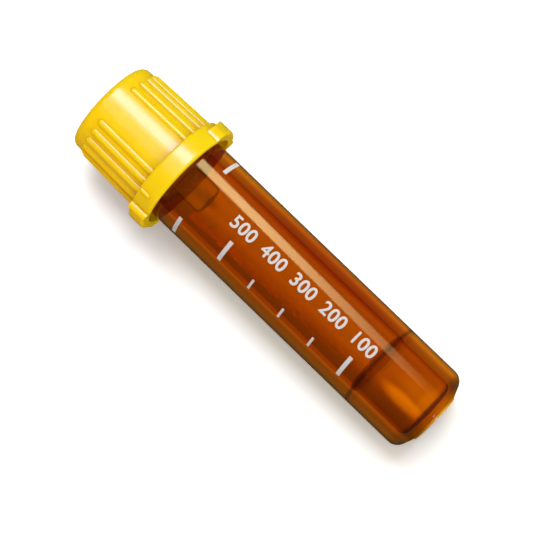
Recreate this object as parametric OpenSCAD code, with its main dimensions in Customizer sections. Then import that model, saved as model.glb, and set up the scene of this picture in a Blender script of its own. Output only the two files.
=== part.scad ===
// Capped micro-collection tube.
// An amber tube with a raised inner floor, closed by a ribbed push-on cap that
// carries an elastomer stopper. Millimetres; +Z runs from the foot to the cap.
// Angles called "from the front" start at -Y and grow towards +X.

/* [Tube] */
// Outside diameter of the barrel
tube_d = 10.8; // [9.5:0.1:14]
// Wall thickness of the barrel
tube_wall = 1.45; // [0.9:0.05:1.6]
// Height of the barrel, from the foot to the shoulder under the neck
barrel_h = 39.4; // [30:0.1:60]
// Height of the neck above the shoulder
neck_h = 8.3; // [7.5:0.1:10]
// Wall thickness of the neck
neck_wall = 0.8; // [0.6:0.05:0.9]
// Thickness of the closed floor at its centre
floor_t = 1.1; // [0.8:0.05:1.5]
// Radius of the rounded corner between floor and wall, inside
floor_corner_r = 0.8; // [0.4:0.05:1.5]
// Chamfer at the mouth of the bore
mouth_chamfer = 0.25; // [0.1:0.05:0.4]

/* [Foot] */
// Diameter of the flat foot that the tube stands on
foot_d = 6.34; // [5:0.1:8]
// Height of the step from the foot to the sloping base
foot_step = 0.08; // [0.05:0.01:0.3]
// Slope of the base outside the foot, in degrees from flat
base_slope = 21.8; // [15:0.1:30]
// Radius of the rounded edge between base and barrel
base_edge_r = 1.5; // [0.6:0.05:1.8]
// Diameter of the moulding gate's dimple in the foot
gate_d = 1.6; // [1:0.1:2.5]
// Depth of the moulding gate's dimple
gate_depth = 0.15; // [0.1:0.05:0.3]

/* [False bottom] */
// Height of the empty chamber between the floor and the false bottom
chamber_h = 7.4; // [4:0.1:12]
// Width of the ledge that carries the false bottom
ledge_w = 0.15; // [0.1:0.05:0.4]
// Thickness of the false bottom's disc
disc_t = 0.7; // [0.5:0.05:1.2]
// Radial gap between the disc and the bore
disc_gap = 0.02; // [0.01:0.01:0.05]
// Chamfer on the disc's edges
disc_chamfer = 0.12; // [0.05:0.01:0.2]

/* [Cap] */
// Height of the cap, from the collar's rim to the roof
cap_h = 12.75; // [12:0.05:14]
// Diameter of the cap's smooth skin at the top
cap_top_d = 11.7; // [11.6:0.1:14]
// Draft of the skin, in degrees
cap_draft = 1.4; // [0:0.1:3]
// Thickness of the roof
roof_t = 1.2; // [0.8:0.05:1.6]
// Radius of the roof's rounded edge
roof_edge_r = 0.85; // [0.5:0.05:1.2]
// Radial gap between the neck and the inside of the cap
neck_gap = 0.08; // [0.05:0.01:0.1]

/* [Grip ribs] */
// Number of ribs in each of the two groups
ribs_per_group = 10; // [6:1:10]
// Angle between neighbouring ribs, in degrees
rib_pitch = 14.2; // [12:0.1:15]
// Radius of a rib's round section
rib_r = 0.5; // [0.3:0.02:0.6]
// How far a rib stands out of the skin
rib_out = 0.28; // [0.2:0.02:0.4]
// Distance from the roof down to the ribs' round ends
rib_top_gap = 1.6; // [1.2:0.1:3]
// Angle from the front to the middle of the smooth panel
panel_angle = 5.5; // [-90:0.5:90]

/* [Collar] */
// Height of the collar
collar_h = 2.6; // [2.4:0.05:4]
// Outside diameter of the collar
collar_d = 13.6; // [13.4:0.1:16]
// Thickness of the collar's rim around its recess
collar_wall = 0.5; // [0.3:0.05:0.7]
// Depth of the recess that opens around the barrel
recess_depth = 1.9; // [1.7:0.1:2.2]
// Radius of the collar's rounded edge above the rim
collar_edge_r = 0.35; // [0.1:0.05:0.4]
// Radius of the collar's rounded top edge
collar_top_edge_r = 0.4; // [0.2:0.05:0.4]
// How far the grip pads stand out of the collar
pad_out = 0.6; // [0.3:0.05:1]
// Height of a grip pad at its low end
pad_h = 1.65; // [1:0.05:2]
// Slope of a pad's top, from its low end, in degrees
pad_slope = 9; // [5:1:20]
// Distance from the collar's top down to a pad's high end
pad_drop = 0.3; // [0.15:0.05:0.5]
// Radius of a pad's rounded outer edges
pad_edge_r = 0.4; // [0.1:0.05:0.5]
// Angle from the front to where a pad starts
pad_start = 64.5; // [40:0.5:70]
// Angle that a pad spans
pad_span = 52; // [40:0.5:70]
// Radius of a pad's rounded low end, seen from above
pad_nose_r = 1.6; // [0.8:0.1:2]
// How far that end is set in from the pad's face
pad_nose_in = 0.04; // [0.02:0.01:0.1]
// Radius of the round rib at the end of each pad
pad_rib_r = 0.55; // [0.4:0.05:0.8]
// How far that rib stands out of the pad
pad_rib_out = 0.1; // [0.05:0.01:0.2]
// Distance from the collar's top down to that rib
pad_rib_drop = 0.2; // [0.05:0.01:0.3]
// Angle past the end of a pad to the small stop ridge
stop_angle = 24; // [15:1:30]
// Radius of the stop ridge's round section
stop_r = 0.3; // [0.24:0.02:0.4]
// How far the ridge's axis is set into the collar
stop_in = 0.06; // [0.04:0.01:0.1]
// Height of the stop ridge
stop_h = 1.4; // [0.8:0.05:1.8]
// Distance from the collar's top down to the stop ridge
stop_drop = 0.3; // [0.05:0.05:0.5]

/* [Stopper] */
// Thickness of the stopper's flange
flange_t = 2.3; // [1.5:0.05:3]
// Depth of the plug below the tube's mouth
plug_depth = 9; // [7:0.1:11]
// Radius of the plug's sealing rings, in section
seal_r = 0.35; // [0.2:0.05:0.5]
// How far a sealing ring stands out of the plug
seal_out = 0.2; // [0.1:0.05:0.3]
// Radial gap between the sealing rings and the bore
seal_gap = 0.04; // [0.02:0.01:0.08]
// Diameter of the nose under the plug
nose_d = 3.7; // [3:0.1:5]
// Length of the nose
nose_l = 3.55; // [2.7:0.05:4]
// Radius of the nose's rounded end
nose_edge_r = 0.55; // [0.3:0.05:1]
// Radial gap between the flange and the inside of the cap
flange_gap = 0.03; // [0.02:0.01:0.06]
// Gap between the flange and the tube's mouth
seat_gap = 0.05; // [0.03:0.01:0.1]

/* [Graduation marks] */
// Thickness of the printed ink
ink_t = 0.03; // [0.02:0.01:0.05]
// Width of a mark, along the tube
mark_w = 0.5; // [0.3:0.05:1]
// Height of the lowest mark above the foot
mark_low_z = 10.8; // [9:0.1:14]
// Height of the fill mark above the foot
mark_fill_z = 29.3; // [20:0.1:32]
// Height of the two highest marks above the foot
mark_high_z = 35.5; // [33:0.1:37]

/* [Hidden] */

$fn = 96;
// Steps in a quarter turn of a rounded edge
arc_steps = 12;
// Overlap that makes two shapes of one moulding join
joined = 0.3;
// Overlap that lets a cut pass through a face
past = 1;

// Tube
tube_r = tube_d / 2;
bore_r = tube_r - tube_wall;
neck_r = bore_r + neck_wall;
mouth_z = barrel_h + neck_h;
ledge_z = floor_t + chamber_h;
chamber_r = bore_r - ledge_w;
edge_centre_r = tube_r - base_edge_r;
slope_end_r = edge_centre_r + base_edge_r * sin(base_slope);
slope_end_z = foot_step + (slope_end_r - foot_d / 2) * tan(base_slope);
edge_centre_z = slope_end_z + base_edge_r * cos(base_slope);

// Cap
cap_bore_r = neck_r + neck_gap;
roof_inner_z = mouth_z + seat_gap + flange_t;
cap_top_z = roof_inner_z + roof_t;
cap_z = cap_top_z - cap_h;
collar_top_z = cap_z + collar_h;
collar_r = collar_d / 2;
pad_r = collar_r + pad_out;
pad_end = pad_start + pad_span;
skin_top_r = cap_top_d / 2;
skin_bottom_r = skin_top_r + (cap_h - collar_h - roof_edge_r) * tan(cap_draft);
rib_z = collar_top_z - joined;
rib_l = cap_top_z - rib_top_gap - rib_r - rib_z;
rib_axis_r = skin_bottom_r + joined * tan(cap_draft) + rib_out - rib_r;
first_rib = panel_angle + 180 - (ribs_per_group - 1) * rib_pitch / 2 - 90;

// Stopper
plug_z = mouth_z - plug_depth;
plug_r = bore_r - seal_gap - seal_out;
nose_r = nose_d / 2;
nose_z = plug_z - nose_l;

// Points of an arc in the r-z plane, from one angle to another
function arc(r, z, radius, from, to) =
    let (steps = max(2, ceil(arc_steps * abs(to - from) / 90)))
    [for (i = [0:steps])
        let (a = from + (to - from) * i / steps)
        [r + radius * cos(a), z + radius * sin(a)]];

// Turns a shape drawn around +X to an angle from the front
module at(angle) {
    rotate([0, 0, angle - 90])
        children();
}

// A rounded bar of a ring: inner radius, outer radius, bottom, height, span
module ring_part(r0, r1, z, h, span) {
    rotate_extrude(angle = span)
        translate([r0, z])
            square([r1 - r0, h]);
}

module tube_body() {
    outside = concat(
        [[0, 0], [foot_d / 2, 0], [foot_d / 2, foot_step]],
        arc(edge_centre_r, edge_centre_z, base_edge_r, base_slope - 90, 0),
        [[tube_r, barrel_h], [neck_r, barrel_h], [neck_r, mouth_z], [0, mouth_z]]
    );
    corner_z = floor_t + floor_corner_r;
    inside = concat(
        [[0, floor_t]],
        arc(chamber_r - floor_corner_r, corner_z, floor_corner_r, -90, 0),
        [
            [chamber_r, ledge_z],
            [bore_r, ledge_z],
            [bore_r, mouth_z - mouth_chamfer],
            [bore_r + mouth_chamfer, mouth_z],
            [bore_r + mouth_chamfer, mouth_z + past],
            [0, mouth_z + past]
        ]
    );
    color([0.63, 0.27, 0.02, 0.7])
        difference() {
            rotate_extrude()
                polygon(outside);
            rotate_extrude()
                polygon(inside);
            translate([0, 0, -past])
                cylinder(h = gate_depth + past, d = gate_d);
        }
}

module false_bottom() {
    disc_r = bore_r - disc_gap;
    color([0.4, 0.15, 0.01, 0.8])
        translate([0, 0, ledge_z])
            rotate_extrude()
                polygon([
                    [0, 0],
                    [disc_r - disc_chamfer, 0],
                    [disc_r, disc_chamfer],
                    [disc_r, disc_t - disc_chamfer],
                    [disc_r - disc_chamfer, disc_t],
                    [0, disc_t]
                ]);
}

module grip_rib() {
    translate([rib_axis_r, 0, rib_z])
        rotate([0, -cap_draft, 0]) {
            cylinder(h = rib_l, r = rib_r, $fn = 32);
            translate([0, 0, rib_l])
                sphere(r = rib_r, $fn = 32);
        }
}

module grip_ribs() {
    for (side = [0, 180], i = [0:ribs_per_group - 1])
        at(first_rib + side + i * rib_pitch)
            grip_rib();
}

module cap_skin() {
    rotate_extrude()
        polygon(concat(
            [[0, collar_top_z - joined], [skin_bottom_r, collar_top_z - joined]],
            [[skin_bottom_r, collar_top_z]],
            arc(skin_top_r - roof_edge_r, cap_top_z - roof_edge_r, roof_edge_r, 0, 90),
            [[0, cap_top_z]]
        ));
}

module collar_ring() {
    rotate_extrude()
        polygon(concat(
            [[0, cap_z]],
            arc(collar_r - collar_edge_r, cap_z + collar_edge_r, collar_edge_r, -90, 0),
            arc(collar_r - collar_top_edge_r, collar_top_z - collar_top_edge_r, collar_top_edge_r, 0, 90),
            [[0, collar_top_z]]
        ));
}

// The body of a grip pad, whose top rises from its low end at pad_start
module pad_body() {
    pad_top_z = collar_top_z - pad_drop;
    pad_inner_r = collar_r - collar_wall - joined;
    at(pad_start)
        difference() {
            rotate_extrude(angle = pad_span)
                polygon(concat(
                    [[pad_inner_r, cap_z]],
                    arc(pad_r - pad_edge_r, cap_z + pad_edge_r, pad_edge_r, -90, 0),
                    arc(pad_r - pad_edge_r, pad_top_z - pad_edge_r, pad_edge_r, 0, 90),
                    [[pad_inner_r, pad_top_z]]
                ));
            translate([0, 0, cap_z + pad_h])
                rotate([pad_slope, 0, 0])
                    translate([0, -past, 0])
                        cube([collar_d, collar_d, collar_h]);
        }
}

// A grip pad with its rounded ends, and the small stop ridge past it
module grip_pad() {
    pad_body();
    at(pad_start)
        translate([pad_r - pad_nose_in - pad_nose_r, 0, cap_z])
            cylinder(h = pad_h, r = pad_nose_r, $fn = 32);
    at(pad_end)
        translate([pad_r + pad_rib_out - pad_rib_r, 0, cap_z])
            cylinder(h = collar_h - pad_rib_drop, r = pad_rib_r, $fn = 32);
    at(pad_end + stop_angle)
        translate([collar_r - stop_in, 0, collar_top_z - stop_drop - stop_h + stop_r]) {
            cylinder(h = stop_h - stop_r, r = stop_r, $fn = 32);
            sphere(r = stop_r, $fn = 32);
        }
}

module cap() {
    color([0.98, 0.84, 0.2])
        difference() {
            union() {
                cap_skin();
                grip_ribs();
                collar_ring();
                for (side = [0, 180])
                    rotate([0, 0, side])
                        grip_pad();
            }
            translate([0, 0, cap_z - past])
                cylinder(h = recess_depth + past, r = collar_r - collar_wall);
            translate([0, 0, cap_z])
                cylinder(h = roof_inner_z - cap_z, r = cap_bore_r);
        }
}

module stopper() {
    flange_r = cap_bore_r - flange_gap;
    seal_axis_r = plug_r + seal_out - seal_r;
    color([0.9, 0.8, 0.55]) {
        union() {
            translate([0, 0, mouth_z + seat_gap])
                cylinder(h = flange_t, r = flange_r);
            translate([0, 0, plug_z])
                cylinder(h = mouth_z + seat_gap + joined - plug_z, r = plug_r);
            for (share = [0.3, 0.6])
                translate([0, 0, plug_z + plug_depth * share])
                    rotate_extrude()
                        translate([seal_axis_r, 0])
                            circle(r = seal_r, $fn = 32);
            rotate_extrude()
                polygon(concat(
                    [[0, nose_z]],
                    arc(nose_r - nose_edge_r, nose_z + nose_edge_r, nose_edge_r, -90, 0),
                    [[nose_r, plug_z + joined], [0, plug_z + joined]]
                ));
        }
    }
}

// One printed mark: height above the foot and the angles from the front
module mark(z, from, to) {
    at(from)
        ring_part(tube_r, tube_r + ink_t, z - mark_w / 2, mark_w, to - from);
}

module graduation_marks() {
    color([0.93, 0.9, 0.88]) {
        mark(mark_high_z, -73, -40);
        mark(mark_high_z, 39, 74);
        mark(mark_fill_z, -47, -16);
        mark(mark_low_z, -47, -16);
    }
}

tube_body();
false_bottom();
cap();
stopper();
graduation_marks();
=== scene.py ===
"""Looks of the capped amber collection tube: its plastics, its printed scale, and the studio round it.

Everything is in metres, in the tube's own frame: +Z from the foot to the cap, -Y towards the printed front.
"""

import math

import bpy
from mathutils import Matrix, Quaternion, Vector


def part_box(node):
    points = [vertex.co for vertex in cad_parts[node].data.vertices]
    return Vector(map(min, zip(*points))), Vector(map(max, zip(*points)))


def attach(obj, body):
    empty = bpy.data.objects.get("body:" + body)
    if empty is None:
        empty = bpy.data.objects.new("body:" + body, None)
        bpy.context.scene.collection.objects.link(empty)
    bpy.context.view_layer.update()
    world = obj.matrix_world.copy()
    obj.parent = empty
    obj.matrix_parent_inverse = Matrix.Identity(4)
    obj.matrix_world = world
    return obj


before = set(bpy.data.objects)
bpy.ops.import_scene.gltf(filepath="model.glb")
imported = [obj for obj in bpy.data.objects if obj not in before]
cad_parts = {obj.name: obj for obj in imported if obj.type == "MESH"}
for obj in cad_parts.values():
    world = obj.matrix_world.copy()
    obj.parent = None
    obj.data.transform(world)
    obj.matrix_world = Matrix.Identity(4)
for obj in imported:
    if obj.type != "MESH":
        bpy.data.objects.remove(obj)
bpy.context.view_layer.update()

MM = 0.001

# The frame's own sizes, which everything below follows
_, TUBE_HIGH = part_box("tube_body")
CAP_LOW, CAP_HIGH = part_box("cap")
MARKS_LOW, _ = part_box("graduation_marks")
DISC_LOW, DISC_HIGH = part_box("false_bottom")
BARREL_R = TUBE_HIGH.x
BORE_R = DISC_HIGH.x
HEIGHT = CAP_HIGH.z

# Sizes of the part that no box gives
BARREL_START_Z = 1.64 * MM  # where the base's rounded edge ends
MARK_WIDTH = 0.5 * MM
LOW_MARK_Z = MARKS_LOW.z + MARK_WIDTH / 2
FILL_MARK_Z = 29.3 * MM  # the middle of the long mark beside the top number

# Printed scale
INK_THICKNESS = 0.03 * MM
INK_BITE = 0.02 * MM  # how far the film starts inside the barrel's surface, so that no gap shows
INK_MERGE = 0.001 * MM
DIGIT_HEIGHT = 1.62 * MM
DIGIT_BOLDNESS = 0.05 * MM  # how far each stroke's edge is moved out
DIGIT_SHARE = 0.73  # of the font's size
LETTER_SPACING = 1.05
SCALE_STEPS = 4
SCALE_TOP = 500
MINOR_MARK_WIDTH = 0.3 * MM
DIGITS_ANGLE = math.radians(4)
MINOR_ANGLES = (math.radians(-47), math.radians(-32))
CURVE_STEPS = 4
WRAP_CUTS = 2  # how often each face is halved, so that it can follow the barrel
LINE_VERTICES = 13

# Camera: it sees the printed front from slightly below, with the tube lying across the picture
LENS_MM = 100
NEAREST_SEEN = 0.01
CAMERA_DISTANCE = 0.42
CAMERA_RISE = math.radians(-8.5)
CAMERA_ROLL = math.radians(46)
PICTURE_WIDTH = 59.65 * MM
AIM = Vector((-0.8 * MM, 0.0, 0.0254))

# Amber plastic: it barely bends light, and a polished coat over it gives the gloss. Painted shade draws
# dark lines round the false bottom's seat and in the far corner of the chamber's floor, with a tint for
# each wall
AMBER_IOR = 1.002
GLOSS_IOR = 1.49
GLOSS_START = (0.1 * MM, 0.3 * MM)  # how far outside the bore the coat begins, and is full
SEAT_SHADE_LINE = {"height": DISC_LOW.z, "width": 0.5 * MM, "near": 0.7, "far": 0.18}
FLOOR_SHADE_LINE = {"height": 1.35 * MM, "width": 0.7 * MM, "near": 1.0, "far": 0.1}
GRAZING_SHADE_FACING = (0.55, 0.85)  # painted shade: how far a face turns away where it begins to darken, and where it is darkest
GRAZING_SHADE_TINT = 0.4
FLOW_SIZE = 1.5 * MM
FLOW_STRETCH = 0.12  # along the tube, as the melt ran
FLOW_TINTS = (0.93, 1.0)
TINT_DENSITY = 1000.0  # per metre

# Surfaces of the other pieces: the sizes of their patterns, how rough the cap is, and how far a face turns
# away where painted shade on the stopper begins and where it is darkest
CAP_GRAIN = 0.25 * MM
CAP_CLOUD = 2.5 * MM
CAP_SHADE_REACH = 1.0 * MM  # how near another wall has to be for painted shade to deepen a corner
CAP_ROUGHNESS = (0.19, 0.26)
STOPPER_GRAIN = 0.4 * MM
STOPPER_SHADE_FACING = (0.45, 0.9)
INK_MOTTLE = 0.15 * MM

# Light, in degrees and metres: a broad softbox and an even room light every piece, and an under light and a
# warm card light only the closure. Two strips and a glow are seen by gloss alone
LAMP_DISTANCE = 0.6
SOFTBOX = {"angle": 24, "rise": 15, "width": 0.34, "length": 0.5, "radiance": 4.4}
CAP_STRIP = {"angle": 30, "rise": 15, "width": 0.25, "length": 0.5, "radiance": 11.0}
CAP_GLOW = {"angle": 14, "rise": 10, "width": 0.6, "length": 0.8, "radiance": 1.8}
TUBE_STRIP = {"angle": 51, "rise": 15, "width": 0.44, "length": 0.3, "radiance": 11.6}
UNDER_LIGHT = {"angle": 5, "rise": -65, "width": 0.4, "length": 0.4, "radiance": 3.2}
WARM_CARD = {"angle": -60, "rise": 0, "width": 0.6, "length": 0.6, "radiance": 0.9}
# The tube's strip shines through a leaning slot, in shares of its face: the height where the slot crosses
# mid width, how far it leans, half its width, how soft its sides are, and the heights where it fades in
STRIP_SLOT = {"middle": 0.32, "lean": 1.14, "half": 0.27, "edge": 0.06, "fade": (0.087, 0.295)}
ROOM_LEVEL = 0.42
ROOM_GLOSS = 0.035

# Paper: its size each way, how far past its own white it is exposed, and the painted light and shade behind
# the barrel, which only rays through the clear plastic see, from its left side to its right
PAPER_REACH = 0.5
PAPER_GAIN = 1.78
PAINTED_BEHIND_LEVELS = (
    (0.0, 0.28), (0.04, 0.4), (0.09, 0.46), (0.13, 0.95), (0.155, 0.75), (0.18, 0.4),
    (0.3, 0.41), (0.36, 0.58), (0.42, 0.78), (0.5, 0.85), (0.63, 0.97), (0.76, 0.8),
    (0.81, 1.0), (0.87, 0.72), (0.92, 0.85), (0.96, 1.3), (1.0, 0.7),
)

# Painted light and shade that differ from those levels: centre and reach in mm, across and along the
# barrel, and the gain in each colour. Six are in the chamber, then come the right wall, the stopper's nose
# and the foot
PAINTED_BEHIND_SPOTS = (
    {"centre": (-1.07, 4.5), "reach": (1.1, 3.9), "gain": (0.95, 1.7, 1.0)},
    {"centre": (0.5, 2.4), "reach": (3.2, 1.1), "gain": (0.25, 0.5, 0.5)},
    {"centre": (1.2, 3.0), "reach": (2.4, 5.0), "gain": (0.2, 0.4, 0.3)},
    {"centre": (-3.4, 4.0), "reach": (1.6, 5.0), "gain": (-0.15, -0.15, -0.15)},
    {"centre": (-4.6, 1.1), "reach": (2.4, 2.0), "gain": (-0.5, -0.45, -0.3)},
    {"centre": (4.4, 1.1), "reach": (2.0, 1.6), "gain": (-0.65, -0.65, -0.3)},
    {"centre": (4.3, 21.0), "reach": (1.3, 19.0), "gain": (-0.15, -0.5, -0.8)},
    {"centre": (0.0, 37.3), "reach": (1.0, 2.9), "gain": (-0.42, -0.46, -0.4)},
    {"centre": (0.2, 0.45), "reach": (3.2, 0.5), "gain": (0.0, 0.1, 8.0)},
)


def linear(hex_colour):
    """The linear colour of an sRGB hex value, with an alpha of 1."""
    def channel(value):
        return value / 12.92 if value <= 0.04045 else ((value + 0.055) / 1.055) ** 2.4

    return tuple(channel(int(hex_colour[i:i + 2], 16) / 255) for i in (1, 3, 5)) + (1.0,)


def add(tree, kind, inputs=None, **settings):
    """Adds a node: settings are its properties, and inputs maps sockets to values or to feeding outputs."""
    node = tree.nodes.new(kind)
    for name, value in settings.items():
        setattr(node, name, value)
    for socket, value in (inputs or {}).items():
        if isinstance(value, bpy.types.NodeSocket):
            tree.links.new(value, node.inputs[socket])
        else:
            node.inputs[socket].default_value = value
    return node


def new_material(name):
    """An empty material, its tree and its output node."""
    material = bpy.data.materials.new(name)
    material.use_nodes = True
    material.node_tree.nodes.clear()
    return material, material.node_tree, add(material.node_tree, "ShaderNodeOutputMaterial")


def painted_shade_line(tree, place, facing, line):
    """The tint of a soft line of painted shade round the tube at a height, and 1 away from it.

    The near wall and the far one have their own tints, and are told apart by the way the surface is facing.
    """
    above = add(tree, "ShaderNodeMath", {0: place, 1: line["height"]}, operation="SUBTRACT")
    away = add(tree, "ShaderNodeMath", {0: above.outputs[0]}, operation="ABSOLUTE")
    tint = add(tree, "ShaderNodeMix", {
        "Factor": facing,
        "A": line["far"],
        "B": line["near"],
    }, data_type="FLOAT")
    return add(tree, "ShaderNodeMapRange", {
        "Value": away.outputs[0],
        "From Max": line["width"],
        "To Min": tint.outputs["Result"],
        "To Max": 1.0,
    }, interpolation_type="SMOOTHSTEP").outputs[0]


def polished_amber_polypropylene(name, tint_colour, depth_colour):
    """Clear amber polypropylene from a polished mould: deep orange where light passes, glossy outside.

    The resin barely bends what is behind it, and its gloss is the coat's, which the duller bore lacks. Its
    tint varies a little with the flow of the melt along the tube. Shade is painted where its faces turn
    away from view, in the line where the false bottom seats, and in the far corner of the chamber's floor.
    Lamps and bounced light pass through it cooler than the eye sees it, so that the tube's shadow on the
    paper stays grey.
    """
    material, tree, output = new_material(name)
    place = add(tree, "ShaderNodeTexCoord")
    across = add(tree, "ShaderNodeVectorMath", {
        0: place.outputs["Object"],
        1: (1.0, 1.0, 0.0),
    }, operation="MULTIPLY")
    radius = add(tree, "ShaderNodeVectorMath", {0: across.outputs[0]}, operation="LENGTH")
    outside = add(tree, "ShaderNodeMapRange", {
        "Value": radius.outputs["Value"],
        "From Min": BORE_R + GLOSS_START[0],
        "From Max": BORE_R + GLOSS_START[1],
    })
    along = add(tree, "ShaderNodeMapping", {
        "Vector": place.outputs["Object"],
        "Scale": (1.0, 1.0, FLOW_STRETCH),
    })
    flow = add(tree, "ShaderNodeTexNoise", {
        "Vector": along.outputs[0],
        "Scale": 1 / FLOW_SIZE,
        "Detail": 2.0,
    })
    streaks = add(tree, "ShaderNodeMapRange", {
        "Value": flow.outputs[0],
        "From Min": 0.3,
        "From Max": 0.7,
        "To Min": FLOW_TINTS[0],
        "To Max": FLOW_TINTS[1],
    })
    height = add(tree, "ShaderNodeSeparateXYZ", {0: place.outputs["Object"]})
    side = add(tree, "ShaderNodeNewGeometry")
    # Painted shade: dark lines round the false bottom's seat and in the far corner of the chamber's floor
    seat = painted_shade_line(tree, height.outputs["Z"], side.outputs["Backfacing"], SEAT_SHADE_LINE)
    floor_shade = painted_shade_line(tree, height.outputs["Z"], side.outputs["Backfacing"], FLOOR_SHADE_LINE)
    # Painted shade where a face turns away from the view
    graze = add(tree, "ShaderNodeLayerWeight", {"Blend": 0.5})
    edge = add(tree, "ShaderNodeMapRange", {
        "Value": graze.outputs["Facing"],
        "From Min": GRAZING_SHADE_FACING[0],
        "From Max": GRAZING_SHADE_FACING[1],
        "To Min": 1.0,
        "To Max": GRAZING_SHADE_TINT,
    })
    skin = add(tree, "ShaderNodeMath", {0: seat, 1: edge.outputs[0]}, operation="MULTIPLY")
    wall = add(tree, "ShaderNodeMix", {
        "Factor": outside.outputs[0],
        "A": floor_shade,
        "B": skin.outputs[0],
    }, data_type="FLOAT")
    shade = add(tree, "ShaderNodeMath", {
        0: streaks.outputs[0],
        1: wall.outputs["Result"],
    }, operation="MULTIPLY")
    tint = add(tree, "ShaderNodeVectorMath", {
        0: linear(tint_colour)[:3],
        "Scale": shade.outputs[0],
    }, operation="SCALE")
    ripple = add(tree, "ShaderNodeBump", {
        "Height": flow.outputs[0],
        "Strength": 0.01,
        "Distance": 0.2 * MM,
    })
    clear = add(tree, "ShaderNodeBsdfPrincipled", {
        "Base Color": tint.outputs[0],
        "Roughness": 0.0,
        "IOR": AMBER_IOR,
        "Transmission Weight": 1.0,
        "Coat Weight": outside.outputs[0],
        "Coat Roughness": 0.05,
        "Coat IOR": GLOSS_IOR,
        "Coat Normal": ripple.outputs[0],
    })
    lamp_light = add(tree, "ShaderNodeBsdfTransparent", {"Color": linear("#C6CDF4")})
    path = add(tree, "ShaderNodeLightPath")
    lighting = add(tree, "ShaderNodeMath", {
        0: path.outputs["Is Shadow Ray"],
        1: path.outputs["Is Diffuse Ray"],
    }, operation="MAXIMUM")
    surface = add(tree, "ShaderNodeMixShader", {
        0: lighting.outputs[0],
        1: clear.outputs[0],
        2: lamp_light.outputs[0],
    })
    depth = add(tree, "ShaderNodeVolumeAbsorption", {
        "Color": linear(depth_colour),
        "Density": TINT_DENSITY,
    })
    tree.links.new(surface.outputs[0], output.inputs["Surface"])
    tree.links.new(depth.outputs[0], output.inputs["Volume"])
    return material


def satin_yellow_polyethylene():
    """Yellow polyethylene from a lightly textured mould: satin, and thin ribs let a little light through.

    Its pigment is a little uneven. A deeper orange is painted as shade in the corners beside the ribs,
    where light bounces between the walls. The light that it passes on to other surfaces is duller than its
    own colour.
    """
    material, tree, output = new_material("satin_yellow_polyethylene")
    place = add(tree, "ShaderNodeTexCoord")
    grain = add(tree, "ShaderNodeTexNoise", {
        "Vector": place.outputs["Object"],
        "Scale": 1 / CAP_GRAIN,
        "Detail": 3.0,
    })
    bump = add(tree, "ShaderNodeBump", {
        "Height": grain.outputs[0],
        "Strength": 0.05,
        "Distance": 0.02 * MM,
    })
    cloud = add(tree, "ShaderNodeTexNoise", {
        "Vector": place.outputs["Object"],
        "Scale": 1 / CAP_CLOUD,
        "Detail": 3.0,
    })
    pigment = add(tree, "ShaderNodeMix", {
        "Factor": cloud.outputs[0],
        "A": linear("#F5D002"),
        "B": linear("#FBD705"),
    }, data_type="RGBA")
    # Painted shade: a deeper orange in the corners, where another wall is near
    corners = add(tree, "ShaderNodeAmbientOcclusion", {"Distance": CAP_SHADE_REACH}, samples=8, only_local=True)
    deep = add(tree, "ShaderNodeMix", {
        "Factor": corners.outputs["AO"],
        "A": linear("#E09600"),
        "B": pigment.outputs["Result"],
    }, data_type="RGBA")
    path = add(tree, "ShaderNodeLightPath")
    colour = add(tree, "ShaderNodeMix", {
        "Factor": path.outputs["Is Diffuse Ray"],
        "A": deep.outputs["Result"],
        "B": linear("#A0702A"),
    }, data_type="RGBA")
    satin = add(tree, "ShaderNodeMapRange", {
        "Value": grain.outputs[0],
        "To Min": CAP_ROUGHNESS[0],
        "To Max": CAP_ROUGHNESS[1],
    })
    plastic = add(tree, "ShaderNodeBsdfPrincipled", {
        "Base Color": colour.outputs["Result"],
        "Roughness": satin.outputs[0],
        "IOR": 1.51,
        "Subsurface Weight": 0.4,
        "Subsurface Radius": (1.0, 0.45, 0.03),
        "Subsurface Scale": 1.0 * MM,
        "Normal": bump.outputs[0],
    })
    tree.links.new(plastic.outputs[0], output.inputs["Surface"])
    return material


def moulded_natural_elastomer():
    """Natural elastomer, moulded: half clear, with painted shade where it turns from view, and a fine
    grain.
    """
    material, tree, output = new_material("moulded_natural_elastomer")
    place = add(tree, "ShaderNodeTexCoord")
    grain = add(tree, "ShaderNodeTexNoise", {
        "Vector": place.outputs["Object"],
        "Scale": 1 / STOPPER_GRAIN,
        "Detail": 2.0,
    })
    bump = add(tree, "ShaderNodeBump", {
        "Height": grain.outputs[0],
        "Strength": 0.1,
        "Distance": 0.02 * MM,
    })
    # Painted shade where the stopper's faces turn away from the view
    graze = add(tree, "ShaderNodeLayerWeight", {"Blend": 0.5})
    edge = add(tree, "ShaderNodeMapRange", {
        "Value": graze.outputs["Facing"],
        "From Min": STOPPER_SHADE_FACING[0],
        "From Max": STOPPER_SHADE_FACING[1],
    })
    tint = add(tree, "ShaderNodeMix", {
        "Factor": edge.outputs[0],
        "A": linear("#F3EAD8"),
        "B": linear("#6E5C44"),
    }, data_type="RGBA")
    rubber = add(tree, "ShaderNodeBsdfPrincipled", {
        "Base Color": tint.outputs["Result"],
        "Roughness": 0.06,
        "IOR": 1.02,
        "Transmission Weight": 0.9,
        "Coat Weight": 0.3,
        "Coat Roughness": 0.2,
        "Coat IOR": GLOSS_IOR,
        "Normal": bump.outputs[0],
    })
    lamp_light = add(tree, "ShaderNodeBsdfTransparent", {"Color": linear("#9A9184")})
    path = add(tree, "ShaderNodeLightPath")
    surface = add(tree, "ShaderNodeMixShader", {
        0: path.outputs["Is Shadow Ray"],
        1: rubber.outputs[0],
        2: lamp_light.outputs[0],
    })
    tree.links.new(surface.outputs[0], output.inputs["Surface"])
    return material


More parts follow.
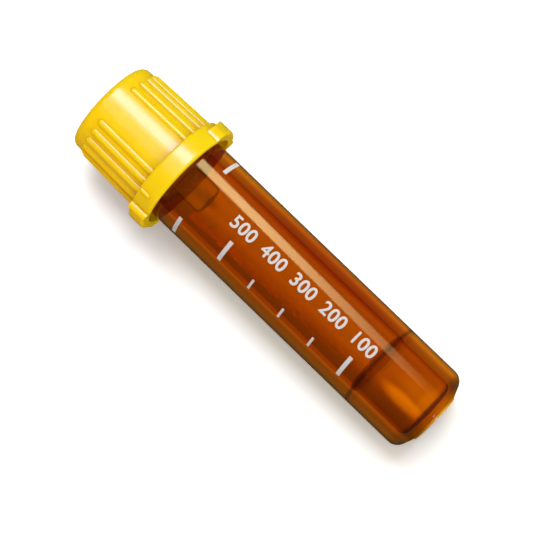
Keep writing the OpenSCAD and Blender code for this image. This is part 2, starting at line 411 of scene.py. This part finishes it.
def pad_printed_white_ink():
    """White pad-printing ink: an opaque satin film, slightly mottled where the pad lifted off."""
    material, tree, output = new_material("pad_printed_white_ink")
    place = add(tree, "ShaderNodeTexCoord")
    mottle = add(tree, "ShaderNodeTexNoise", {
        "Vector": place.outputs["Object"],
        "Scale": 1 / INK_MOTTLE,
        "Detail": 3.0,
    })
    tone = add(tree, "ShaderNodeMix", {
        "Factor": mottle.outputs[0],
        "A": linear("#D5CCC6"),
        "B": linear("#F6F2EF"),
    }, data_type="RGBA")
    bump = add(tree, "ShaderNodeBump", {
        "Height": mottle.outputs[0],
        "Strength": 0.3,
        "Distance": 0.005 * MM,
    })
    ink = add(tree, "ShaderNodeBsdfPrincipled", {
        "Base Color": tone.outputs["Result"],
        "Roughness": 0.5,
        "IOR": 1.5,
        "Normal": bump.outputs[0],
    })
    tree.links.new(ink.outputs[0], output.inputs["Surface"])
    return material


def add_painted_spot(tree, place, base, centre, reach, gain):
    """The base level with one more soft spot of painted light or shade: centre and reach in mm, across and
    up.
    """
    from_centre = add(tree, "ShaderNodeVectorMath", {
        0: place,
        1: (centre[0] * MM, 0.0, centre[1] * MM),
    }, operation="SUBTRACT")
    share = add(tree, "ShaderNodeVectorMath", {
        0: from_centre.outputs[0],
        1: (1 / (reach[0] * MM), 0.0, 1 / (reach[1] * MM)),
    }, operation="MULTIPLY")
    away = add(tree, "ShaderNodeVectorMath", {0: share.outputs[0]}, operation="LENGTH")
    level = add(tree, "ShaderNodeMapRange", {
        "Value": away.outputs["Value"],
        "From Min": 0.3,
        "To Min": 1.0,
        "To Max": 0.0,
    }, interpolation_type="SMOOTHSTEP")
    return add(tree, "ShaderNodeVectorMath", {
        0: level.outputs[0],
        1: gain,
        2: base,
    }, operation="MULTIPLY_ADD").outputs[0]


def stage_surface(name, hex_colour):
    """White paper, seen only from its front, so that it never hides the tube from behind.

    The camera sees it exposed past white, with a pale shadow. Gloss sees it dark, as in a draped room, and
    the clear plastic shows painted light and shade behind the tube, a glow that only rays through it see.
    """
    material, tree, output = new_material(name)
    side = add(tree, "ShaderNodeNewGeometry")
    path = add(tree, "ShaderNodeLightPath")
    place = add(tree, "ShaderNodeTexCoord")
    # Painted light and shade behind the tube, a glow that only rays through the clear plastic see
    across = add(tree, "ShaderNodeSeparateXYZ", {0: place.outputs["Object"]})
    share = add(tree, "ShaderNodeMapRange", {
        "Value": across.outputs["X"],
        "From Min": -BARREL_R,
        "From Max": BARREL_R,
    })
    ramp = add(tree, "ShaderNodeValToRGB", {0: share.outputs[0]})
    stops = ramp.color_ramp.elements
    while len(stops) < len(PAINTED_BEHIND_LEVELS):
        stops.new(0.5)
    for stop, (position, level) in zip(stops, PAINTED_BEHIND_LEVELS):
        stop.position = position
        stop.color = (level, level, level, 1.0)
    painted_lift = (1.0, 1.0, 1.0)
    for spot in PAINTED_BEHIND_SPOTS:
        painted_lift = add_painted_spot(tree, place.outputs["Object"], painted_lift, **spot)
    painted_behind_light = add(tree, "ShaderNodeVectorMath", {0: ramp.outputs[0], 1: painted_lift}, operation="MULTIPLY")
    matte = add(tree, "ShaderNodeBsdfDiffuse", {"Color": linear(hex_colour)})
    bright = add(tree, "ShaderNodeBsdfDiffuse", {"Color": (PAPER_GAIN, PAPER_GAIN, PAPER_GAIN, 1.0)})
    dim = add(tree, "ShaderNodeBsdfDiffuse", {"Color": linear("#5A5040")})
    glow = add(tree, "ShaderNodeEmission", {"Color": painted_behind_light.outputs[0]})
    seen = add(tree, "ShaderNodeMixShader", {
        0: path.outputs["Is Camera Ray"],
        1: matte.outputs[0],
        2: bright.outputs[0],
    })
    paper = add(tree, "ShaderNodeMixShader", {
        0: path.outputs["Is Glossy Ray"],
        1: seen.outputs[0],
        2: dim.outputs[0],
    })
    behind = add(tree, "ShaderNodeMixShader", {
        0: path.outputs["Is Transmission Ray"],
        1: paper.outputs[0],
        2: glow.outputs[0],
    })
    clear = add(tree, "ShaderNodeBsdfTransparent")
    surface = add(tree, "ShaderNodeMixShader", {
        0: side.outputs["Backfacing"],
        1: behind.outputs[0],
        2: clear.outputs[0],
    })
    tree.links.new(surface.outputs[0], output.inputs["Surface"])
    return material


def dress(node, material):
    """Gives a CAD node its material."""
    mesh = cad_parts[node].data
    mesh.materials.clear()
    mesh.materials.append(material)


def plane(name, corners, material):
    """A flat stage quad through four corners, facing by the right-hand rule."""
    mesh = bpy.data.meshes.new(name)
    mesh.from_pydata(corners, [], [(0, 1, 2, 3)])
    mesh.materials.append(material)
    piece = bpy.data.objects.new(name, mesh)
    bpy.context.scene.collection.objects.link(piece)
    return piece


def stage():
    """The paper that the tube's back rests on, and a floor under its foot for views from above."""
    reach = PAPER_REACH
    lean = (CAP_HIGH.y - BARREL_R) / (CAP_LOW.z - BARREL_START_Z)

    def back(z):
        return BARREL_R + lean * (z - BARREL_START_Z)

    plane("backdrop", [
        (-reach, back(-reach), -reach),
        (reach, back(-reach), -reach),
        (reach, back(reach), reach),
        (-reach, back(reach), reach),
    ], stage_surface("backdrop_paper", "#F4F3F1"))
    floor = plane("floor", [
        (-reach, -reach, 0.0),
        (reach, -reach, 0.0),
        (reach, reach, 0.0),
        (-reach, reach, 0.0),
    ], stage_surface("floor_paper", "#F4F3F1"))
    for ray in ("diffuse", "glossy", "transmission", "shadow"):
        setattr(floor, "visible_" + ray, False)


def aim(thing, place, target):
    """Puts an object at a place, with its -Z towards the target."""
    thing.location = place
    thing.rotation_mode = "QUATERNION"
    thing.rotation_quaternion = (target - place).to_track_quat("-Z", "Y")


def softbox(name, angle, rise, width, length, radiance, colour="#FFFFFF", gloss_of=(), only=(), slot=None):
    """A rectangular lamp whose face is as bright as radiance says, where 1 is white.

    Its place is given in degrees from the front towards +X and upwards. With gloss_of it is only a
    reflection, in the named CAD nodes. With only it lights those named, and just the first of them casts
    its shadow. A slot in front of it leaves a leaning band of its face, which fades in from its lower end.
    """
    lamp = bpy.data.lights.new(name, "AREA")
    lamp.shape = "RECTANGLE"
    lamp.size, lamp.size_y = width, length
    lamp.energy = radiance * math.pi * width * length
    lamp.color = linear(colour)[:3]
    if slot:
        lamp.use_nodes = True
        tree = lamp.node_tree
        tree.nodes.clear()
        face = add(tree, "ShaderNodeNewGeometry")
        share = add(tree, "ShaderNodeSeparateXYZ", {0: face.outputs["Parametric"]})
        slot_centre = add(tree, "ShaderNodeMath", {
            0: share.outputs["Y"],
            1: slot["lean"],
            2: 0.5 - slot["lean"] * slot["middle"],
        }, operation="MULTIPLY_ADD")
        aside = add(tree, "ShaderNodeMath", {
            0: share.outputs["X"],
            1: slot_centre.outputs[0],
        }, operation="SUBTRACT")
        away = add(tree, "ShaderNodeMath", {0: aside.outputs[0]}, operation="ABSOLUTE")
        fade = add(tree, "ShaderNodeMapRange", {
            "Value": share.outputs["Y"],
            "From Min": slot["fade"][0],
            "From Max": slot["fade"][1],
        })
        glow = add(tree, "ShaderNodeMapRange", {
            "Value": away.outputs[0],
            "From Min": slot["half"] - slot["edge"],
            "From Max": slot["half"] + slot["edge"],
            "To Min": fade.outputs[0],
            "To Max": 0.0,
        })
        shine = add(tree, "ShaderNodeEmission", {"Strength": glow.outputs[0]})
        add(tree, "ShaderNodeOutputLight", {"Surface": shine.outputs[0]})
    holder = bpy.data.objects.new(name, lamp)
    bpy.context.scene.collection.objects.link(holder)
    holder.visible_diffuse = not gloss_of
    holder.visible_glossy = bool(gloss_of)
    if gloss_of or only:
        lit = bpy.data.collections.new(name + "_receivers")
        for node in gloss_of or only:
            lit.objects.link(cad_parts[node])
        holder.light_linking.receiver_collection = lit
        if only:
            caster = bpy.data.collections.new(name + "_blockers")
            caster.objects.link(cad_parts[only[0]])
            holder.light_linking.blocker_collection = caster
    turn, tilt = math.radians(angle), math.radians(rise)
    away = Vector((math.sin(turn) * math.cos(tilt), -math.cos(turn) * math.cos(tilt), math.sin(tilt)))
    target = Vector((0.0, 0.0, HEIGHT / 2))
    aim(holder, target + away * LAMP_DISTANCE, target)


def light():
    """A broad softbox, fill for the closure, strips and a glow that gloss sees, and an even white room."""
    softbox("main_softbox", **SOFTBOX)
    closure = ("cap", "stopper")
    tube = ("tube_body", "false_bottom")
    softbox("under_light", **UNDER_LIGHT, colour="#FFF3DC", only=closure)
    softbox("warm_card", **WARM_CARD, colour="#FFB870", only=closure)
    softbox("cap_strip", **CAP_STRIP, colour="#9CC0FF", gloss_of=closure)
    softbox("cap_glow", **CAP_GLOW, colour="#9CC0FF", gloss_of=closure)
    softbox("tube_strip", **TUBE_STRIP, colour="#FFE9A0", gloss_of=tube, slot=STRIP_SLOT)
    world = bpy.data.worlds.new("white_room")
    bpy.context.scene.world = world
    world.use_nodes = True
    tree = world.node_tree
    tree.nodes.clear()
    path = add(tree, "ShaderNodeLightPath")
    fill = add(tree, "ShaderNodeBackground", {"Color": linear("#FFFDFB"), "Strength": ROOM_LEVEL})
    dark = add(tree, "ShaderNodeBackground", {"Color": linear("#FFE8C0"), "Strength": ROOM_GLOSS})
    seen = add(tree, "ShaderNodeBackground", {"Color": linear("#FDFDFC"), "Strength": 1.0})
    straight = add(tree, "ShaderNodeMath", {
        0: path.outputs["Is Camera Ray"],
        1: path.outputs["Is Transmission Ray"],
    }, operation="MAXIMUM")
    room = add(tree, "ShaderNodeMixShader", {
        0: path.outputs["Is Glossy Ray"],
        1: fill.outputs[0],
        2: dark.outputs[0],
    })
    mix = add(tree, "ShaderNodeMixShader", {0: straight.outputs[0], 1: room.outputs[0], 2: seen.outputs[0]})
    add(tree, "ShaderNodeOutputWorld", {"Surface": mix.outputs[0]})


def camera():
    """The camera, turned so that the tube lies from the upper left down to the lower right."""
    data = bpy.data.cameras.new("camera")
    data.lens = LENS_MM
    data.sensor_width = data.lens * PICTURE_WIDTH / CAMERA_DISTANCE
    data.clip_start = NEAREST_SEEN
    holder = bpy.data.objects.new("camera", data)
    bpy.context.scene.collection.objects.link(holder)
    bpy.context.scene.camera = holder
    away = Vector((0.0, -math.cos(CAMERA_RISE), math.sin(CAMERA_RISE)))
    aim(holder, AIM + away * CAMERA_DISTANCE, AIM)
    holder.rotation_quaternion @= Quaternion((0, 0, 1), -CAMERA_ROLL)


def dress_tube():
    """Materials of every piece: the thin false bottom's amber is paler than the barrel's."""
    amber = polished_amber_polypropylene("polished_amber_polypropylene", "#E5A82A", "#F6E672")
    pale_amber = polished_amber_polypropylene("polished_pale_amber_polypropylene", "#D8CAAE", "#FCF8E4")
    ink = pad_printed_white_ink()
    dress("tube_body", amber)
    dress("false_bottom", pale_amber)
    dress("cap", satin_yellow_polyethylene())
    dress("stopper", moulded_natural_elastomer())
    dress("graduation_marks", ink)
    printed_scale(ink)


def numbers(tree, size):
    """The numbers, filled and flat, one pitch apart along x, with the top number at the origin."""
    first = add(tree, "GeometryNodeRepeatInput")
    last = add(tree, "GeometryNodeRepeatOutput")
    first.pair_with_output(last)
    tree.links.new(size["Numbers"], first.inputs["Iterations"])
    step = first.outputs["Iteration"]
    below = add(tree, "ShaderNodeMath", {0: step, 1: size["Number Step"]}, operation="MULTIPLY")
    number = add(tree, "ShaderNodeMath", {0: size["Top Number"], 1: below.outputs[0]}, operation="SUBTRACT")
    words = add(tree, "FunctionNodeValueToString", {"Value": number.outputs[0]})
    letters = add(tree, "GeometryNodeStringToCurves", {
        "String": words.outputs[0],
        "Size": size["Font Size"],
        "Character Spacing": size["Letter Spacing"],
    }, align_x="CENTER", align_y="MIDDLE")
    real = add(tree, "GeometryNodeRealizeInstances", {0: letters.outputs[0]})
    smooth = add(tree, "GeometryNodeSetSplineResolution", {
        "Geometry": real.outputs[0],
        "Resolution": CURVE_STEPS,
    })
    points = add(tree, "GeometryNodeResampleCurve", {"Curve": smooth.outputs[0]}, mode="EVALUATED")
    level = add(tree, "GeometryNodeSetCurveNormal", {"Curve": points.outputs[0]}, mode="Z_UP")
    outward = add(tree, "ShaderNodeVectorMath", {
        0: add(tree, "GeometryNodeInputNormal").outputs[0],
        "Scale": size["Boldness"],
    }, operation="SCALE")
    bold = add(tree, "GeometryNodeSetPosition", {
        "Geometry": level.outputs[0],
        "Offset": outward.outputs[0],
    })
    faces = add(tree, "GeometryNodeFillCurve", {"Curve": bold.outputs[0]})
    shift = add(tree, "ShaderNodeMath", {0: step, 1: size["Pitch"]}, operation="MULTIPLY")
    side = add(tree, "ShaderNodeMath", {
        0: size["Numbers Angle"],
        1: size["Barrel Radius"],
    }, operation="MULTIPLY")
    spot = add(tree, "ShaderNodeCombineXYZ", {0: shift.outputs[0], 1: side.outputs[0]})
    placed = add(tree, "GeometryNodeTransform", {
        "Geometry": faces.outputs[0],
        "Translation": spot.outputs[0],
    })
    grown = add(tree, "GeometryNodeJoinGeometry", {0: first.outputs["Geometry"]})
    tree.links.new(placed.outputs[0], grown.inputs[0])
    tree.links.new(grown.outputs[0], last.inputs["Geometry"])
    return add(tree, "GeometryNodeSubdivideMesh", {"Mesh": last.outputs["Geometry"], "Level": WRAP_CUTS})


def short_lines(tree, size):
    """The short lines between the two long marks, flat, in step with the numbers."""
    length = add(tree, "ShaderNodeMath", {
        0: size["Line Span"],
        1: size["Barrel Radius"],
    }, operation="MULTIPLY")
    line = add(tree, "GeometryNodeMeshGrid", {
        "Size X": size["Line Width"],
        "Size Y": length.outputs[0],
        "Vertices X": 2,
        "Vertices Y": LINE_VERTICES,
    })
    side = add(tree, "ShaderNodeMath", {
        0: size["Lines Angle"],
        1: size["Barrel Radius"],
    }, operation="MULTIPLY")
    start = add(tree, "ShaderNodeCombineXYZ", {0: size["Pitch"], 1: side.outputs[0]})
    count = add(tree, "ShaderNodeMath", {0: size["Numbers"], 1: 2.0}, operation="SUBTRACT")
    step = add(tree, "ShaderNodeCombineXYZ", {0: size["Pitch"]})
    places = add(tree, "GeometryNodeMeshLine", {
        "Count": count.outputs[0],
        "Start Location": start.outputs[0],
        "Offset": step.outputs[0],
    })
    lines = add(tree, "GeometryNodeInstanceOnPoints", {
        "Points": places.outputs[0],
        "Instance": line.outputs[0],
    })
    return add(tree, "GeometryNodeRealizeInstances", {0: lines.outputs[0]})


def wrapped(tree, size, flat):
    """The flat print laid round the barrel, just under its surface."""
    spot = add(tree, "ShaderNodeSeparateXYZ", {0: add(tree, "GeometryNodeInputPosition").outputs[0]})
    turn = add(tree, "ShaderNodeMath", {0: spot.outputs["Y"], 1: size["Barrel Radius"]}, operation="DIVIDE")
    sine = add(tree, "ShaderNodeMath", {0: turn.outputs[0]}, operation="SINE")
    cosine = add(tree, "ShaderNodeMath", {0: turn.outputs[0]}, operation="COSINE")
    front = add(tree, "ShaderNodeMath", {0: cosine.outputs[0], 1: -1.0}, operation="MULTIPLY")
    under = add(tree, "ShaderNodeMath", {
        0: size["Barrel Radius"],
        1: size["Ink Bite"],
    }, operation="SUBTRACT")
    round_it = add(tree, "ShaderNodeVectorMath", {
        0: add(tree, "ShaderNodeCombineXYZ", {0: sine.outputs[0], 1: front.outputs[0]}).outputs[0],
        "Scale": under.outputs[0],
    }, operation="SCALE")
    height = add(tree, "ShaderNodeMath", {
        0: size["Top Height"],
        1: spot.outputs["X"],
    }, operation="SUBTRACT")
    raised = add(tree, "ShaderNodeVectorMath", {
        0: round_it.outputs[0],
        1: add(tree, "ShaderNodeCombineXYZ", {2: height.outputs[0]}).outputs[0],
    }, operation="ADD")
    return add(tree, "GeometryNodeSetPosition", {"Geometry": flat, "Position": raised.outputs[0]})


def scale_tree(sizes, material):
    """A Geometry Nodes tree that prints a numbered scale on a barrel, and its named inputs' identifiers.

    Numbers and lines are laid out flat, with x along the barrel from the top number down and y round it.
    They are then wrapped on the barrel, and get the thickness of the ink.
    """
    tree = bpy.data.node_groups.new("printed_scale", "GeometryNodeTree")
    tree.is_modifier = True
    sockets = {}
    for name, value in sizes.items():
        kind = "NodeSocketInt" if isinstance(value, int) else "NodeSocketFloat"
        sockets[name] = tree.interface.new_socket(name=name, in_out="INPUT", socket_type=kind).identifier
    tree.interface.new_socket(name="Geometry", in_out="OUTPUT", socket_type="NodeSocketGeometry")
    size = add(tree, "NodeGroupInput").outputs

    flat = add(tree, "GeometryNodeJoinGeometry", {0: numbers(tree, size).outputs[0]})
    tree.links.new(short_lines(tree, size).outputs[0], flat.inputs[0])
    skin = wrapped(tree, size, flat.outputs[0])
    thickness = add(tree, "ShaderNodeMath", {
        0: size["Ink Thickness"],
        1: size["Ink Bite"],
    }, operation="ADD")
    film = add(tree, "GeometryNodeExtrudeMesh", {
        "Mesh": skin.outputs[0],
        "Offset Scale": thickness.outputs[0],
        "Individual": False,
    })
    back = add(tree, "GeometryNodeFlipFaces", {"Mesh": skin.outputs[0]})
    closed = add(tree, "GeometryNodeJoinGeometry", {0: film.outputs["Mesh"]})
    tree.links.new(back.outputs[0], closed.inputs[0])
    merged = add(tree, "GeometryNodeMergeByDistance", {
        "Geometry": closed.outputs[0],
        "Distance": INK_MERGE,
    })
    whole = add(tree, "GeometryNodeRealizeInstances", {0: merged.outputs[0]})
    inked = add(tree, "GeometryNodeSetMaterial", {"Geometry": whole.outputs[0], "Material": material})
    add(tree, "NodeGroupOutput", {"Geometry": inked.outputs[0]})
    return tree, sockets


def printed_scale(material):
    """The numbers and the short lines between the lowest mark and the fill mark, printed on the barrel."""
    sizes = {
        "Barrel Radius": BARREL_R,
        "Ink Thickness": INK_THICKNESS,
        "Ink Bite": INK_BITE,
        "Top Height": FILL_MARK_Z,
        "Pitch": (FILL_MARK_Z - LOW_MARK_Z) / SCALE_STEPS,
        "Numbers": SCALE_STEPS + 1,
        "Top Number": SCALE_TOP,
        "Number Step": SCALE_TOP // (SCALE_STEPS + 1),
        "Font Size": DIGIT_HEIGHT / DIGIT_SHARE,
        "Letter Spacing": LETTER_SPACING,
        "Boldness": DIGIT_BOLDNESS,
        "Numbers Angle": DIGITS_ANGLE,
        "Line Width": MINOR_MARK_WIDTH,
        "Line Span": MINOR_ANGLES[1] - MINOR_ANGLES[0],
        "Lines Angle": sum(MINOR_ANGLES) / 2,
    }
    tree, sockets = scale_tree(sizes, material)
    seed = bpy.data.objects.new("scale_seed", bpy.data.meshes.new("scale_seed"))
    bpy.context.scene.collection.objects.link(seed)
    modifier = seed.modifiers.new("printed_scale", "NODES")
    modifier.node_group = tree
    for name, value in sizes.items():
        modifier[sockets[name]] = value
    shaped = seed.evaluated_get(bpy.context.evaluated_depsgraph_get())
    mesh = bpy.data.meshes.new_from_object(shaped)
    seed.modifiers.clear()
    bpy.data.objects.remove(seed)
    mesh.name = "printed_scale"
    piece = bpy.data.objects.new("printed_scale", mesh)
    bpy.context.scene.collection.objects.link(piece)
    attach(piece, "tube")


camera()
dress_tube()
stage()
light()
bpy.context.scene.view_settings.view_transform = "Standard"
